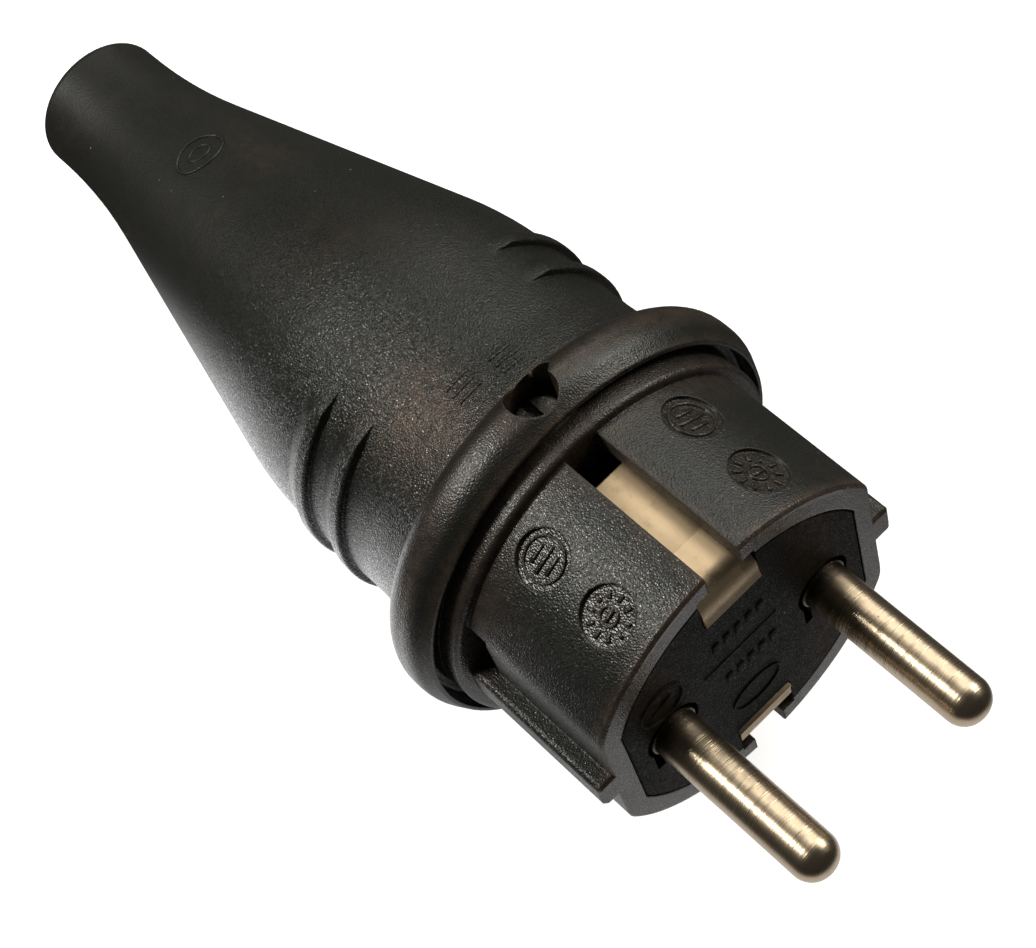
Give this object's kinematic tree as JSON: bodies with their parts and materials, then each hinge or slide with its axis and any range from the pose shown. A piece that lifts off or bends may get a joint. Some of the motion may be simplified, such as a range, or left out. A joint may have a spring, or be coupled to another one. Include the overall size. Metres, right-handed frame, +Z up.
{
  "type": "rubber electric plug",
  "caption": "Black rubber mains plug with two round pins, earth contacts in side slots, a flange and a long tapered cable hood, lying on its side.",
  "frame": {"origin": "centre of the bottom of the bounding box, on the surface that the plug lies on", "axes": "+X along the plug towards the pins, +Z up; the plug's own axis rises towards the pins by about 10 degrees, because it lies on its flange and its grip"},
  "size_m": [0.1168, 0.044, 0.0437],
  "materials": {
    "boot_rubber": "semi-matt black rubber with a fine grain and a faint brown bloom at the edges",
    "shell_rubber": "semi-matt black rubber with a fine spark-eroded grain",
    "carrier_plastic": "smooth matt dark grey moulding",
    "plated_brass": "nickel-plated brass with fine turned lines",
    "strip_metal": "nickel-plated strip, smooth and bright",
    "zinc_steel": "zinc-plated steel"
  },
  "bodies": {
    "root": {"rear_boot": "boot_rubber", "front_shell": "shell_rubber", "contact_carrier": "carrier_plastic", "contact_pin_left": "plated_brass", "contact_pin_right": "plated_brass", "terminal_screw_left": "zinc_steel", "terminal_screw_right": "zinc_steel", "earth_strip": "strip_metal", "earth_screw": "zinc_steel", "earth_clamp_plate": "plated_brass", "earth_nut": "plated_brass", "cord_clamp": "carrier_plastic", "cord_clamp_screw_left": "zinc_steel", "cord_clamp_screw_right": "zinc_steel", "cord_clamp_nut_left": "zinc_steel", "cord_clamp_nut_right": "zinc_steel", "boot_screw_top": "zinc_steel", "boot_screw_bottom": "zinc_steel", "boot_nut_top": "zinc_steel", "boot_nut_bottom": "zinc_steel"}
  },
  "joints": []
}
